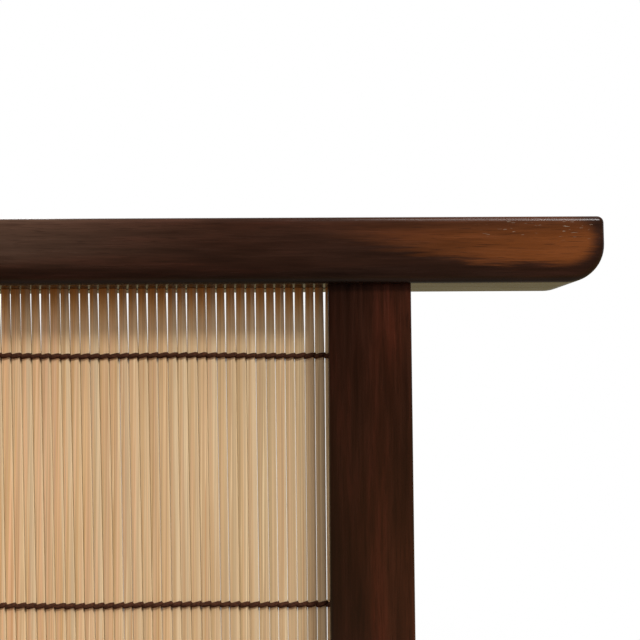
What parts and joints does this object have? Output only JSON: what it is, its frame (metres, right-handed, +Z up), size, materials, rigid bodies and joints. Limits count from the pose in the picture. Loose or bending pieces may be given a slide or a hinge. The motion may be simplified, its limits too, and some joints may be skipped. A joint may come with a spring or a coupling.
{
  "type": "table screen",
  "caption": "Low table screen: dark wood frame with an overhanging top rail, filled with an upright bamboo blind twined with thread, on cross feet that turn flat.",
  "frame": {"origin": "on the table, under the middle of the screen", "axes": "+X along the screen to the right as seen from the front, +Y to the back, +Z up; the front faces -Y"},
  "size_m": [0.6, 0.13, 0.355],
  "materials": {
    "stained_wood": "satin lacquer",
    "bamboo": "bare, smooth",
    "thread": "twisted cotton",
    "felt": "pressed felt",
    "plated_steel": "zinc plated",
    "brass": "turned",
    "nylon": "matt"
  },
  "bodies": {
    "screen": {"top_rail": "stained_wood", "lower_rail": "stained_wood", "bamboo_sticks": "bamboo", "weave_thread_1": "thread", "weave_thread_2": "thread", "weave_thread_3": "thread", "weave_thread_4": "thread", "left_post": "stained_wood", "left_pivot_bolt": "plated_steel", "left_bolt_washer": "plated_steel", "left_slip_disc": "nylon", "left_thread_insert": "brass", "left_stop_pin": "plated_steel", "right_post": "stained_wood", "right_pivot_bolt": "plated_steel", "right_bolt_washer": "plated_steel", "right_slip_disc": "nylon", "right_thread_insert": "brass", "right_stop_pin": "plated_steel"},
    "left_foot": {"left_foot": "stained_wood", "left_foot_pads": "felt"},
    "right_foot": {"right_foot": "stained_wood", "right_foot_pads": "felt"}
  },
  "joints": [
    {"name": "left_foot_turn", "type": "hinge", "parent": "screen", "child": "left_foot", "pos_m": [-0.2295, 0, 0.024], "axis": [0, 0, -1], "range_deg": [0, 90]},
    {"name": "right_foot_turn", "type": "hinge", "parent": "screen", "child": "right_foot", "pos_m": [0.2295, 0, 0.024], "axis": [0, 0, 1], "range_deg": [0, 90]}
  ]
}
